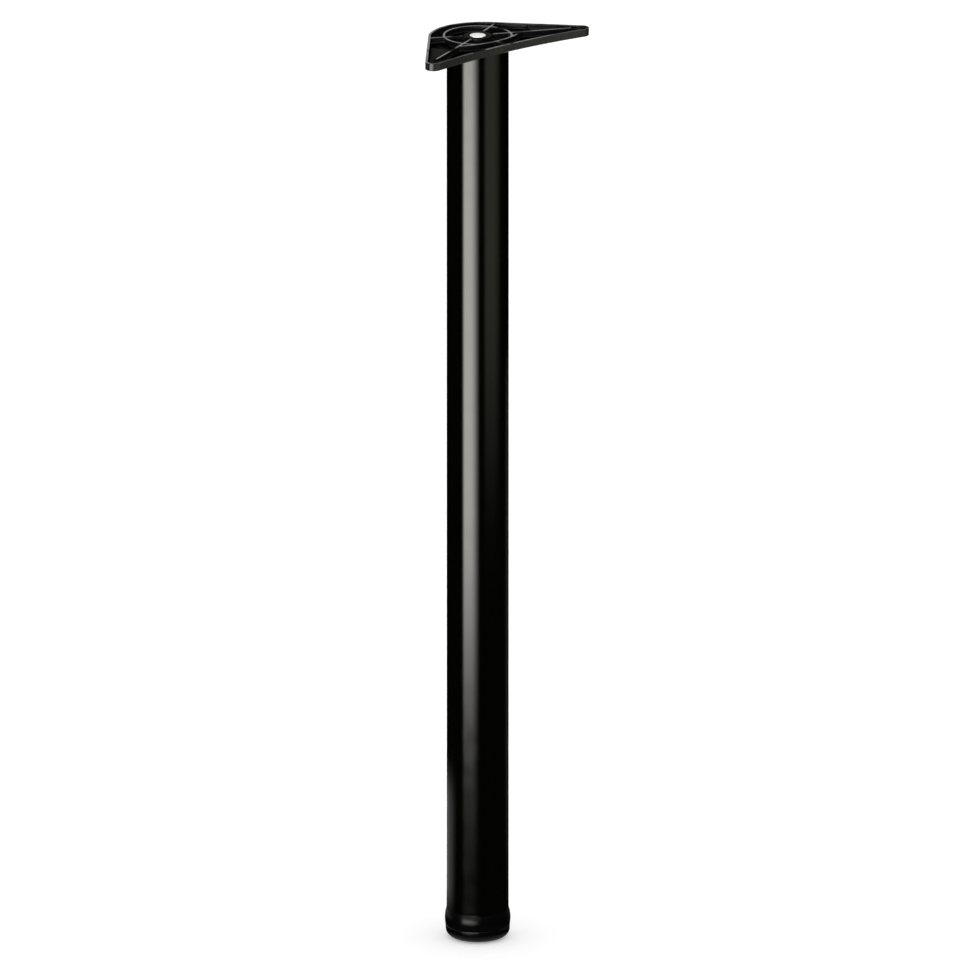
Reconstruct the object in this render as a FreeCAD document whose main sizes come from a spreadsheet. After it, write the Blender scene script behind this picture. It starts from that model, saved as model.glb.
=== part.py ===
import FreeCAD, Part
import math
import os

import Sketcher
from FreeCAD import Rotation, Vector

# Height adjustable table leg, in millimetres.
#
# The origin is the centre of the foot's lower face, on the floor. +Z runs up the tube to the
# mounting plate, whose ribbed side faces up, against the underside of the table top. The plate is
# a wide triangle seen from above: its rounded apex points to +Y and its two tips lie along X.
# The leg is drawn with its foot screwed right in.

document = FreeCAD.newDocument("table_leg")


# The driving dimensions

SIZES = (
    ("overall_height", 900, "floor to the top of the mounting plate"),
    ("foot_travel", 20, "how far the foot screws out"),
    ("tube_diameter", 60, "outside of the steel tube"),
    ("tube_wall", 1.2, "thickness of the tube"),
    ("tube_edge", 0.3, "chamfer on the tube's cut ends"),
    ("plate_height", 7.5, "height of the plate's rim and ribs"),
    ("plate_floor", 2, "thickness of the plate between its ribs"),
    ("rim_wall", 2.2, "thickness of the plate's rim"),
    ("rib_wall", 1.8, "thickness of the plate's ribs"),
    ("rim_round", 1, "round on the rim's lower outside edge"),
    ("apex_margin", 21.5, "how much larger the apex's outside radius is than the tube's"),
    ("apex_setback", 6.5, "from the tube's axis back to the centre of that radius"),
    ("tip_reach", 92, "from the tube's axis out to the centre of a tip"),
    ("tip_setback", 43.5, "from the tube's axis back to the centre of a tip"),
    ("tip_radius", 8, "outside radius of a tip"),
    ("front_radius", 560, "radius of the long hollow edge between the tips"),
    ("hub_diameter", 26.4, "boss round the stud"),
    ("ring_overhang", 3.3, "from the tube's outside to the outside of the ring rib over it"),
    ("bow_radius", 84, "middle of the bowed rib in front of the hub"),
    ("bow_inset", 5.9, "from the ring rib's outside in to the middle of the bowed rib"),
    ("rear_rib_angle", 28, "degrees from X to a rear rib"),
    ("hole_inset", 5, "from a tip's centre in to its screw hole"),
    ("hole_rise", 4, "from a tip's centre forward to its screw hole"),
    ("apex_hole_gap", 4.5, "from the ring rib's outside to the apex's screw hole"),
    ("screw_hole", 5, "diameter of a screw hole"),
    ("screw_sink", 9.4, "diameter of its countersink, on the side the screw comes from"),
    ("boss_diameter", 13, "boss round a tip's screw hole"),
    ("pad_drop", 1.5, "from the rib tops down to the pads beside the tips"),
    ("pad_near", 55, "from the tube's axis to where those pads start, along the tip's rib"),
    ("apex_pad_width", 11, "width of the pad round the apex's screw hole"),
    ("pocket_corner", 1, "round in the upright corners between the ribs"),
    ("pocket_round", 0.8, "round between the ribs and the plate's floor"),
    ("spigot_height", 3, "ring under the plate that centres the tube"),
    ("spigot_wall", 2.4, "thickness of that ring"),
    ("spigot_gap", 0.2, "from that ring to the inside of the tube"),
    ("stud_diameter", 10, "threaded stud in the plate"),
    ("stud_reach", 32, "length of the stud below its head"),
    ("stud_point", 1, "chamfer at the stud's end"),
    ("head_diameter", 15.6, "flat head of the stud"),
    ("head_height", 3.5, "thickness of that head"),
    ("head_edge", 0.4, "chamfer round the head's top"),
    ("head_gap", 0.1, "from the head to its seat in the hub, all round"),
    ("thread_gap", 0.1, "from the stud to the holes it passes through"),
    ("plug_clear", 0.5, "from the plate's ring down to the top plug"),
    ("plug_height", 30, "height of the top plug"),
    ("plug_web", 12, "thickness of the top plug's floor"),
    ("plug_wall", 3, "thickness of its skirt"),
    ("plug_gap", 0.05, "from a plug to the inside of the tube"),
    ("nut_flats", 17, "across the flats of the nut"),
    ("nut_height", 8, "height of the nut"),
    ("nut_gap", 0.1, "from the nut to its pocket"),
    ("foot_overhang", 1, "from the tube's outside to the outside of the foot's grip"),
    ("foot_height", 12.8, "from the floor to the top of the grip"),
    ("foot_round", 9, "round on the grip's lower edge"),
    ("foot_shoulder", 0.9, "round on the grip's upper edge"),
    ("foot_lift", 0.5, "from the floor to the lowest edge of the grip"),
    ("collar_wall", 1.9, "from the tube's outside to the widest line of the collar"),
    ("collar_height", 15.7, "height of the collar"),
    ("collar_swell", 8.6, "from the collar's lower face up to its widest line"),
    ("collar_taper", 0.6, "how much it narrows from there down to the groove"),
    ("collar_sweep", 30, "radius of the round along its widest line"),
    ("collar_lip", 0.3, "thickness of the collar's upper lip"),
    ("collar_gap", 0.05, "from the lip to the outside of the tube"),
    ("groove_depth", 1.2, "how far the collar's lower edge is cut back"),
    ("tube_seat", 4.2, "from the collar's lower face up to the tube's end"),
    ("sleeve_height", 28, "how far the ferrule reaches up inside the tube"),
    ("sleeve_gap", 0.8, "from the ferrule's sleeve to the inside of the tube"),
    ("sleeve_wall", 2.4, "thickness of the ferrule's inner and outer walls"),
    ("sleeve_floor", 4, "thickness under the hollows between those walls"),
    ("web_wall", 2, "thickness of the webs between those walls"),
    ("crush_width", 1.6, "width of the ribs that grip the tube"),
    ("crush_lead", 2, "from the top of those ribs to the top of the sleeve"),
    ("hollow_width", 3.2, "from the ferrule's inner wall to its outer wall"),
    ("stem_wall", 3.4, "thickness of the hollow stem"),
    ("stem_bite", 20, "thread that stays in the ferrule with the foot right out"),
    ("stem_gap", 0.3, "from the stem to the ferrule's bore"),
    ("grip_floor", 5, "thickness of the foot over its glide"),
    ("glide_ledge", 1, "flat edge of the foot round the disc that it turns on"),
    ("glide_height", 3, "thickness of that disc"),
    ("glide_gap", 0.3, "from the disc to the foot, all round"),
    ("glide_edge", 0.6, "chamfer round the disc's lower edge"),
    ("pin_diameter", 8, "pin that snaps the disc into the foot"),
    ("pin_gap", 0.3, "from the pin to its hole"),
    ("snap_width", 0.9, "how far the pin's head stands out"),
    ("snap_height", 2, "height of the pin's head"),
)
WEB_COUNT = 6
CRUSH_RIB_COUNT = 12
NEAR = 1e-4

sheet = document.addObject("Spreadsheet::Sheet", "Sizes")
for row, (name, value, meaning) in enumerate(SIZES, start=1):
    sheet.set("A%d" % row, meaning)
    sheet.set("B%d" % row, str(value))
    sheet.setAlias("B%d" % row, name)
document.recompute()


def size(name):
    """The number in the cell of that name."""
    return float(getattr(sheet, name))


def bind(thing, **formulas):
    """Ties properties to the sheet. A formula names the cells; a dot in a property is written __."""
    for name, formula in formulas.items():
        thing.setExpression(name.replace("__", "."), tied(formula))


def tied(formula):
    """The same formula with the sheet's name before each cell's name."""
    words = formula.replace("(", "( ").replace(")", " )").split(" ")
    names = [entry[0] for entry in SIZES]
    return " ".join("Sizes." + word if word in names else word for word in words)


# Heights and radii that several pieces share

PLATE_BASE = "overall_height - plate_height"
PLUG_TOP = PLATE_BASE + " - spigot_height - plug_clear"
TUBE_FOOT = "foot_height + tube_seat"
TUBE_BORE = "( tube_diameter / 2 - tube_wall )"
GRIP = "( tube_diameter / 2 + foot_overhang )"
SLEEVE = "( tube_diameter / 2 - tube_wall - sleeve_gap )"
FERRULE_BORE = "( tube_diameter / 2 - tube_wall - sleeve_gap - 2 * sleeve_wall - hollow_width )"


# Tools for the drawing

def origin_plane(body, role):
    """One of the body's own origin planes, such as XY_Plane."""
    for feature in body.Origin.OriginFeatures:
        if feature.Role == role:
            return feature
    raise ValueError("no plane " + role)


def new_body(name, height="0"):
    """An empty body whose own XY plane lies at that height."""
    body = document.addObject("PartDesign::Body", name)
    body.Label = name
    if height != "0":
        bind(body, Placement__Base__z=height)
    return body


def new_sketch(body, name, role="XY_Plane"):
    """An empty sketch on one of the body's origin planes."""
    sketch = body.newObject("Sketcher::SketchObject", name)
    sketch.AttachmentSupport = [(origin_plane(body, role), "")]
    sketch.MapMode = "FlatFace"
    return sketch


def fix(sketch, formula, kind, *where):
    """Adds one driving dimension to a sketch and ties it to the sheet."""
    index = sketch.addConstraint(Sketcher.Constraint(kind, *where))
    sketch.setExpression("Constraints[%d]" % index, tied(formula))


def fix_point(sketch, edge, end, across, along):
    """Places one end, or the centre, of an edge by its two coordinates."""
    point = sketch.getPoint(edge, end)
    if across == "0":
        sketch.addConstraint(Sketcher.Constraint("PointOnObject", edge, end, -2))
    else:
        fix(sketch, across, "DistanceX", -1, 1, edge, end, point.x)
    if along == "0":
        sketch.addConstraint(Sketcher.Constraint("PointOnObject", edge, end, -1))
    else:
        fix(sketch, along, "DistanceY", -1, 1, edge, end, point.y)


def polygon(sketch, corners):
    """A closed outline of straight edges. Its start is rough: each corner's formulas place it."""
    first = sketch.GeometryCount
    count = len(corners)
    turn = 2 * math.pi / count
    rough = [Vector(20 + math.cos(i * turn), 20 + math.sin(i * turn), 0) for i in range(count)]
    for i in range(count):
        sketch.addGeometry(Part.LineSegment(rough[i], rough[(i + 1) % count]))
    for i in range(count):
        following = first + (i + 1) % count
        sketch.addConstraint(Sketcher.Constraint("Coincident", first + i, 2, following, 1))
    for i, (across, along) in enumerate(corners):
        fix_point(sketch, first + i, 1, across, along)


def turned(body, name, corners):
    """A full turn about Z of an outline given as (radius, height) corners."""
    sketch = new_sketch(body, name + "_section", "XZ_Plane")
    polygon(sketch, corners)
    turn = body.newObject("PartDesign::Revolution", name)
    turn.Profile = sketch
    turn.ReferenceAxis = (sketch, ["V_Axis"])
    turn.Angle = 360
    document.recompute()
    return turn


def padded(body, sketch, name, length):
    """The sketch carried up by that length."""
    pad = body.newObject("PartDesign::Pad", name)
    pad.Profile = sketch
    bind(pad, Length=length)
    document.recompute()
    return pad


def numbered_edges(thing):
    """A shape's edges with their numbers, which start at 1."""
    return list(enumerate(thing.Shape.Edges, start=1))


def named_edges(thing):
    """A shape's edges with their names."""
    return [("Edge%d" % i, edge) for i, edge in numbered_edges(thing)]


def lowest(edge):
    """The height of an edge's lowest end."""
    return min(vertex.Z for vertex in edge.Vertexes)


def highest(edge):
    """The height of an edge's highest end."""
    return max(vertex.Z for vertex in edge.Vertexes)


def is_upright(edge):
    """Whether both ends of an edge stand one above the other."""
    start, end = edge.Vertexes[0].Point, edge.Vertexes[-1].Point
    return math.hypot(end.x - start.x, end.y - start.y) < NEAR < abs(end.z - start.z)


def is_sharp(shape, edge):
    """Whether the two faces at an edge meet at an angle, and don't run on into each other."""
    middle = edge.valueAt((edge.FirstParameter + edge.LastParameter) / 2)
    one, other = [face.normalAt(*face.Surface.parameter(middle))
                  for face in shape.ancestorsOfType(edge, Part.Face)]
    return one.getAngle(other) > math.radians(5)


def ring_edges(feature, radius, height):
    """The round edges of a feature about Z that have that radius and that height."""
    found = []
    for name, edge in named_edges(feature):
        curve = edge.Curve
        if isinstance(curve, Part.Circle) and math.hypot(curve.Center.x, curve.Center.y) < NEAR:
            if abs(curve.Radius - radius) < NEAR and abs(curve.Center.z - height) < NEAR:
                found.append(name)
    if not found:
        raise ValueError("%s has no edge of radius %g at %g" % (feature.Name, radius, height))
    return found


def eased(body, kind, name, edges_of, edges, amount):
    """A fillet or a chamfer on named edges."""
    feature = body.newObject("PartDesign::" + kind, name)
    feature.Base = (edges_of, edges)
    bind(feature, **{"Radius" if kind == "Fillet" else "Size": amount})
    document.recompute()
    return feature


def place(thing, across, along, height):
    """Puts an object's own origin at that point."""
    bind(thing, Placement__Base__x=across, Placement__Base__y=along, Placement__Base__z=height)


def turn_about_z(thing, angle):
    """Turns an object about its own origin by that angle."""
    thing.Placement.Rotation = Rotation(Vector(0, 0, 1), 1)
    bind(thing, Placement__Rotation__Angle=angle)


def post(name, radius, base, height, across="0", along="0"):
    """A cylinder that stands on that height."""
    cylinder = document.addObject("Part::Cylinder", name)
    bind(cylinder, Radius=radius, Height=height)
    place(cylinder, across, along, base)
    return cylinder


def block(name, lengths, corner):
    """A box of those three lengths with one corner there."""
    box = document.addObject("Part::Box", name)
    bind(box, Length=lengths[0], Width=lengths[1], Height=lengths[2])
    place(box, *corner)
    return box


def boolean(kind, name, base, tool):
    """The cut, fuse or common of two objects."""
    result = document.addObject("Part::" + kind, name)
    result.Label = name
    result.Base = base
    result.Tool = tool
    return result


def fused(name, pieces):
    """Several objects as one."""
    result = document.addObject("Part::MultiFuse", name)
    result.Label = name
    result.Shapes = pieces
    return result


def mirrored(name, source):
    """The same object on the other side of the YZ plane."""
    copy = document.addObject("Part::Mirroring", name)
    copy.Source = source
    copy.Normal = Vector(1, 0, 0)
    return copy


# The mounting plate: one zinc casting, a floor with a rim and a web of ribs over it

APEX = "( tube_diameter / 2 + apex_margin )"
RING = "( tube_diameter / 2 + ring_overhang )"
HOLE_REACH = "( tip_reach - hole_inset )"
HOLE_SETBACK = "( tip_setback - hole_rise )"
HOLE_DISTANCE = "sqrt( %s ^ 2 + %s ^ 2 )" % (HOLE_REACH, HOLE_SETBACK)
TIP_RIB_ANGLE = "- atan( %s / %s )" % (HOLE_SETBACK, HOLE_REACH)


def plate_outline(sketch, inset="0"):
    """The plate's outline: an apex, two straight sides, two tips and a long hollow front edge.

    Every joint is tangent. inset moves the whole outline inwards.
    """
    inwards = size(inset) if inset != "0" else 0
    apex = Vector(0, -size("apex_setback"), 0)
    tip = Vector(size("tip_reach"), -size("tip_setback"), 0)
    left_tip = Vector(-tip.x, tip.y, 0)
    apex_radius = size("tube_diameter") / 2 + size("apex_margin") - inwards
    tip_radius = size("tip_radius") - inwards
    front_radius = size("front_radius") + inwards

    side = tip - apex
    lean = math.atan2(side.y, side.x) + math.acos((apex_radius - tip_radius) / side.Length)
    front = Vector(0, tip.y - math.sqrt((front_radius + tip_radius) ** 2 - tip.x ** 2), 0)
    swing = math.atan2(tip.y - front.y, tip.x)

    def at(centre, radius, angle):
        return centre + Vector(radius * math.cos(angle), radius * math.sin(angle), 0)

    def arc(centre, radius, start, end):
        round_edge = Part.Circle(centre, Vector(0, 0, 1), radius)
        return sketch.addGeometry(Part.ArcOfCircle(round_edge, start, end))

    def line(start, end):
        return sketch.addGeometry(Part.LineSegment(start, end))

    apex_arc = arc(apex, apex_radius, lean, math.pi - lean)
    left_side = line(at(apex, apex_radius, math.pi - lean), at(left_tip, tip_radius, math.pi - lean))
    left_arc = arc(left_tip, tip_radius, math.pi - lean, 2 * math.pi - swing)
    front_arc = arc(front, front_radius, swing, math.pi - swing)
    right_arc = arc(tip, tip_radius, swing - math.pi, lean)
    right_side = line(at(tip, tip_radius, lean), at(apex, apex_radius, lean))

    for one, one_end, other, other_end in (
        (apex_arc, 2, left_side, 1),
        (left_side, 2, left_arc, 1),
        (left_arc, 2, front_arc, 2),
        (front_arc, 1, right_arc, 1),
        (right_arc, 2, right_side, 1),
        (right_side, 2, apex_arc, 1),
    ):
        sketch.addConstraint(Sketcher.Constraint("Tangent", one, one_end, other, other_end))
    fix_point(sketch, apex_arc, 3, "0", "- apex_setback")
    fix_point(sketch, left_arc, 3, "- tip_reach", "- tip_setback")
    fix_point(sketch, right_arc, 3, "tip_reach", "- tip_setback")
    fix(sketch, APEX + " - " + inset, "Radius", apex_arc, apex_radius)
    fix(sketch, "tip_radius - " + inset, "Radius", left_arc, tip_radius)
    fix(sketch, "tip_radius - " + inset, "Radius", right_arc, tip_radius)
    fix(sketch, "front_radius + " + inset, "Radius", front_arc, front_radius)


def plate_blank():
    """The plate before its pockets: the outline carried up to the rim's height."""
    body = new_body("plate_blank", PLATE_BASE)
    sketch = new_sketch(body, "plate_outline")
    plate_outline(sketch)
    slab = padded(body, sketch, "plate_slab", "plate_height")
    lower = [name for name, edge in named_edges(slab) if highest(edge) < NEAR]
    eased(body, "Fillet", "plate_slab_round", slab, lower, "rim_round")
    return body


def pocket_blank():
    """All that lies inside the rim and above the floor."""
    body = new_body("pocket_blank", PLATE_BASE + " + plate_floor")
    sketch = new_sketch(body, "pocket_outline")
    plate_outline(sketch, "rim_wall")
    padded(body, sketch, "pocket_slab", "plate_height - plate_floor")
    return body


def rib_disc(name, radius, across="0", along="0", drop="0"):
    """A round post from the plate's base to the rib tops, or to drop below them."""
    return post(name, radius, PLATE_BASE, "plate_height - " + drop, across, along)


def rib_box(name, length, width, across, along, drop="0"):
    """A straight block from the plate's base to the rib tops, or to drop below them."""
    return block(name, (length, width, "plate_height - " + drop), (across, along, PLATE_BASE))


def spoke(name, length, angle):
    """A straight rib that leaves the hub's centre at that angle from X."""
    rib = rib_box(name, length, "rib_wall", "rib_wall / 2 * sin( %s )" % angle,
                  "- rib_wall / 2 * cos( %s )" % angle)
    turn_about_z(rib, angle)
    return rib


def below_tip_rib():
    """All that lies in front of the middle of a tip rib."""
    space = rib_box("below_tip_rib", "2 * tip_reach", "tip_reach",
                    "tip_reach * sin( %s )" % TIP_RIB_ANGLE, "- tip_reach * cos( %s )" % TIP_RIB_ANGLE)
    turn_about_z(space, TIP_RIB_ANGLE)
    return space


def one_side():
    """The ribs and pads that the plate has on each side."""
    tip_rib = spoke("tip_rib", HOLE_DISTANCE + " - boss_diameter / 4", TIP_RIB_ANGLE)
    rear_rib = spoke("rear_rib", APEX, "rear_rib_angle")
    boss = rib_disc("tip_boss", "boss_diameter / 2", HOLE_REACH, "- " + HOLE_SETBACK, "pad_drop")
    pad = rib_box("tip_pad", "tip_reach", "tip_reach", "pad_near * cos( %s )" % TIP_RIB_ANGLE,
                  "pad_near * sin( %s )" % TIP_RIB_ANGLE, "pad_drop")
    turn_about_z(pad, TIP_RIB_ANGLE)
    right = fused("right_ribs", [tip_rib, rear_rib, boss, pad])
    return [right, mirrored("left_ribs", right)]


def middle_ribs(below):
    """The hub, the ring rib over the tube's wall, the bowed rib before it and the apex pad."""
    hub = rib_disc("hub", "hub_diameter / 2")
    ring = boolean("Cut", "ring_whole", rib_disc("ring_outside", RING),
                   rib_disc("ring_inside", RING + " - rib_wall"))
    bow_centre = "bow_radius - %s + bow_inset" % RING
    ring_kept = boolean("Common", "ring_rib", ring,
                        rib_disc("bow_middle", "bow_radius", "0", bow_centre))
    bow = boolean("Cut", "bow_whole",
                  rib_disc("bow_outside", "bow_radius + rib_wall / 2", "0", bow_centre),
                  rib_disc("bow_inside", "bow_radius - rib_wall / 2", "0", bow_centre))
    in_front = fused("in_front_of_tip_ribs", [below, mirrored("below_left_tip_rib", below)])
    bow_kept = boolean("Common", "bow_rib", bow, in_front)
    front = rib_box("front_rib", "rib_wall", "tip_setback", "- rib_wall / 2",
                    "bow_inset - %s - tip_setback" % RING)
    apex_pad = rib_box("apex_pad", "apex_pad_width", APEX, "- apex_pad_width / 2",
                       RING + " - rib_wall / 2", "pad_drop")
    return [hub, ring_kept, bow_kept, front, apex_pad]


def pockets():
    """The hollows between the ribs, rounded in their upright corners and along the floor."""
    below = below_tip_rib()
    ribs = fused("ribs", one_side() + middle_ribs(below))
    sharp = boolean("Cut", "sharp_pockets", pocket_blank(), ribs)
    document.recompute()
    top = size("overall_height")
    floor = top - size("plate_height") + size("plate_floor")
    corners = [i for i, edge in numbered_edges(sharp)
               if is_upright(edge) and highest(edge) > top - NEAR and lowest(edge) < floor + NEAR
               and is_sharp(sharp.Shape, edge)]
    eased_corners = document.addObject("Part::Fillet", "pockets_with_round_corners")
    eased_corners.Base = sharp
    eased_corners.Edges = [(i, size("pocket_corner"), size("pocket_corner")) for i in corners]
    document.recompute()
    along_floor = [i for i, edge in numbered_edges(eased_corners) if highest(edge) < floor + NEAR]
    rounded = document.addObject("Part::Fillet", "pockets")
    rounded.Base = eased_corners
    rounded.Edges = [(i, size("pocket_round"), size("pocket_round")) for i in along_floor]
    document.recompute()
    return rounded


def screw_way(name, across, along):
    """A screw hole with its countersink, which opens downwards."""
    hole = post(name + "_hole", "screw_hole / 2", PLATE_BASE, "plate_height", across, along)
    sink = document.addObject("Part::Cone", name + "_sink")
    bind(sink, Radius1="screw_sink / 2", Radius2="screw_hole / 2",
         Height="( screw_sink - screw_hole ) / 2")
    place(sink, across, along, PLATE_BASE)
    return [hole, sink]


def mounting_plate():
    """The finished casting, with its ring for the tube, its screw holes and the stud's seat."""
    web = boolean("Cut", "plate_web", plate_blank(), pockets())
    spigot_base = PLATE_BASE + " - spigot_height"
    spigot = boolean("Cut", "spigot",
                     post("spigot_outside", TUBE_BORE + " - spigot_gap", spigot_base,
                          "spigot_height + plate_floor / 2"),
                     post("spigot_inside", TUBE_BORE + " - spigot_gap - spigot_wall", spigot_base,
                          "spigot_height"))
    ways = screw_way("right", HOLE_REACH, "- " + HOLE_SETBACK)
    ways += screw_way("left", "- " + HOLE_REACH, "- " + HOLE_SETBACK)
    ways += screw_way("apex", "0", RING + " + apex_hole_gap")
    ways.append(post("stud_way", "stud_diameter / 2 + thread_gap", PLATE_BASE, "plate_height"))
    ways.append(post("head_seat", "head_diameter / 2 + head_gap", "overall_height - head_height",
                     "head_height"))
    return boolean("Cut", "mounting_plate", boolean("Fuse", "plate_with_spigot", web, spigot),
                   fused("plate_ways", ways))


# The fastening between the plate and the tube

def hub_stud():
    """The stud: a flat head flush with the ribs, and a shank down into the tube."""
    shank = "stud_diameter / 2"
    head = "head_diameter / 2"
    under = "overall_height - head_height"
    body = new_body("hub_stud")
    turned(body, "stud", (
        ("0", under + " - stud_reach"),
        (shank + " - stud_point", under + " - stud_reach"),
        (shank, under + " - stud_reach + stud_point"),
        (shank, under),
        (head, under),
        (head, "overall_height - head_edge"),
        (head + " - head_edge", "overall_height"),
        ("0", "overall_height"),
    ))
    return body


def hexagon(name, flats, base, height):
    """A six-sided block about Z."""
    prism = document.addObject("Part::Prism", name)
    prism.Polygon = 6
    bind(prism, Circumradius="( %s ) / 2 / cos( 30 )" % flats, Height=height)
    place(prism, "0", "0", base)
    return prism


def top_plug():
    """The plug pressed into the tube's top: a thick floor with a pocket for the nut, and a skirt."""
    outside = TUBE_BORE + " - plug_gap"
    bore = "stud_diameter / 2 + thread_gap"
    web_base = PLUG_TOP + " - plug_web"
    plug_base = PLUG_TOP + " - plug_height"
    body = new_body("top_plug_blank")
    turned(body, "plug", (
        (bore, PLUG_TOP),
        (outside, PLUG_TOP),
        (outside, plug_base),
        (outside + " - plug_wall", plug_base),
        (outside + " - plug_wall", web_base),
        (bore, web_base),
    ))
    pocket = hexagon("nut_pocket", "nut_flats + 2 * nut_gap", web_base, "nut_height")
    return boolean("Cut", "top_plug", body, pocket)


def top_nut():
    """The nut in the plug's pocket, with its corners turned off above and below."""
    base = PLUG_TOP + " - plug_web"
    corner = "nut_flats / 2 / cos( 30 )"
    slope = "( nut_flats / 2 / cos( 30 ) - nut_flats / 2 ) * tan( 30 )"
    body = new_body("nut_turning")
    turned(body, "turning", (
        ("stud_diameter / 2 + thread_gap", base),
        ("nut_flats / 2", base),
        (corner, base + " + " + slope),
        (corner, base + " + nut_height - " + slope),
        ("nut_flats / 2", base + " + nut_height"),
        ("stud_diameter / 2 + thread_gap", base + " + nut_height"),
    ))
    return boolean("Common", "top_nut", body, hexagon("nut_block", "nut_flats", base, "nut_height"))


# The tube

def leg_tube():
    """The steel tube, from its seat in the ferrule up to the plate."""
    outside = "tube_diameter / 2"
    body = new_body("leg_tube")
    turned(body, "tube", (
        (TUBE_BORE, TUBE_FOOT),
        (outside + " - tube_edge", TUBE_FOOT),
        (outside, TUBE_FOOT + " + tube_edge"),
        (outside, PLATE_BASE + " - tube_edge"),
        (outside + " - tube_edge", PLATE_BASE),
        (TUBE_BORE, PLATE_BASE),
    ))
    return body


# The ferrule in the tube's lower end

def ferrule_blank():
    """The collar that cups the tube's end, and the sleeve that stands inside it."""
    bore = FERRULE_BORE
    collar = "tube_diameter / 2 + collar_wall"
    lip = "tube_diameter / 2 + collar_gap"
    body = new_body("ferrule_blank")
    blank = turned(body, "ferrule", (
        (bore, "foot_height"),
        (collar + " - collar_taper - groove_depth", "foot_height"),
        (collar + " - collar_taper", "foot_height + groove_depth"),
        (collar, "foot_height + collar_swell"),
        (lip + " + collar_lip", "foot_height + collar_height"),
        (lip, "foot_height + collar_height"),
        (lip, TUBE_FOOT),
        (SLEEVE, TUBE_FOOT),
        (SLEEVE, TUBE_FOOT + " + sleeve_height"),
        (bore, TUBE_FOOT + " + sleeve_height"),
    ))
    widest = ring_edges(blank, size("tube_diameter") / 2 + size("collar_wall"),
                        size("foot_height") + size("collar_swell"))
    eased(body, "Fillet", "collar_round", blank, widest, "collar_sweep")
    return body


def sleeve_hollows():
    """The space between the sleeve's inner and outer walls, with webs across it."""
    inner = FERRULE_BORE + " + sleeve_wall"
    outer = SLEEVE + " - sleeve_wall"
    base = "foot_height + sleeve_floor"
    height = "tube_seat + sleeve_height - sleeve_floor"
    space = boolean("Cut", "sleeve_space", post("space_outside", outer, base, height),
                    post("space_inside", inner, base, height))
    bars = []
    for i in range(WEB_COUNT // 2):
        slant = "%g" % (i * 360 / WEB_COUNT)
        bar = block("web_bar_%d" % i, ("tube_diameter", "web_wall", height),
                    ("- tube_diameter / 2 * cos( %s ) + web_wall / 2 * sin( %s )" % (slant, slant),
                     "- tube_diameter / 2 * sin( %s ) - web_wall / 2 * cos( %s )" % (slant, slant),
                     base))
        turn_about_z(bar, slant)
        bars.append(bar)
    return boolean("Cut", "sleeve_hollows", space, fused("webs", bars))


def crush_ribs():
    """The small upright ribs on the sleeve that grip the tube."""
    reach = TUBE_BORE + " - plug_gap"
    ribs = []
    for i in range(CRUSH_RIB_COUNT):
        slant = "%g" % ((i + 0.5) * 360 / CRUSH_RIB_COUNT)
        start = reach + " - sleeve_wall"
        rib = block("crush_rib_%d" % i, ("sleeve_wall", "crush_width", "sleeve_height - crush_lead"),
                    ("( %s ) * cos( %s ) + crush_width / 2 * sin( %s )" % (start, slant, slant),
                     "( %s ) * sin( %s ) - crush_width / 2 * cos( %s )" % (start, slant, slant),
                     TUBE_FOOT))
        turn_about_z(rib, slant)
        ribs.append(rib)
    return ribs


def foot_ferrule():
    """The whole moulding: collar, threaded bore, hollow sleeve and its ribs."""
    hollowed = boolean("Cut", "ferrule_hollowed", ferrule_blank(), sleeve_hollows())
    return fused("foot_ferrule", [hollowed] + crush_ribs())


# The foot, which screws into the ferrule, and the disc that it turns on

def foot_body():
    """The grip and its hollow stem, moulded in one. The stem is drawn at its thread's full width."""
    hole = "pin_diameter / 2 + pin_gap"
    recess = GRIP + " - foot_round - glide_ledge"
    stem = FERRULE_BORE + " - stem_gap"
    stem_top = "foot_height + foot_travel + stem_bite"
    floor_top = "glide_height + grip_floor"
    body = new_body("foot_body")
    blank = turned(body, "foot", (
        (hole, "glide_height"),
        (recess, "glide_height"),
        (recess, "foot_lift"),
        (GRIP, "foot_lift"),
        (GRIP, "foot_height"),
        (stem, "foot_height"),
        (stem, stem_top),
        (stem + " - stem_wall", stem_top),
        (stem + " - stem_wall", floor_top),
        (hole, floor_top),
    ))
    grip = size("tube_diameter") / 2 + size("foot_overhang")
    lower = ring_edges(blank, grip, size("foot_lift"))
    rounded = eased(body, "Fillet", "grip_round", blank, lower, "foot_round")
    upper = ring_edges(rounded, grip, size("foot_height"))
    eased(body, "Fillet", "grip_shoulder", rounded, upper, "foot_shoulder")
    return body


def foot_glide():
    """The disc on the floor, and the pin that snaps through the foot's floor."""
    disc = GRIP + " - foot_round - glide_ledge - glide_gap"
    pin = "pin_diameter / 2"
    catch = "glide_height + grip_floor + pin_gap"
    body = new_body("foot_glide")
    turned(body, "glide", (
        ("0", "0"),
        (disc + " - glide_edge", "0"),
        (disc, "glide_edge"),
        (disc, "glide_height"),
        (pin, "glide_height"),
        (pin, catch),
        (pin + " + snap_width", catch),
        (pin, catch + " + snap_height"),
        ("0", catch + " + snap_height"),
    ))
    return body


# The leg, and its files

PIECES = [
    mounting_plate(),
    hub_stud(),
    top_nut(),
    top_plug(),
    leg_tube(),
    foot_ferrule(),
    foot_body(),
    foot_glide(),
]
document.recompute()

for thing in document.Objects:
    if "Invalid" in thing.State or "Error" in thing.State:
        raise RuntimeError("%s is %s" % (thing.Name, thing.State))
for piece in PIECES:
    if piece.Shape.isNull() or not piece.Shape.isValid() or len(piece.Shape.Solids) != 1:
        raise RuntimeError("%s has no good solid" % piece.Label)

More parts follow.
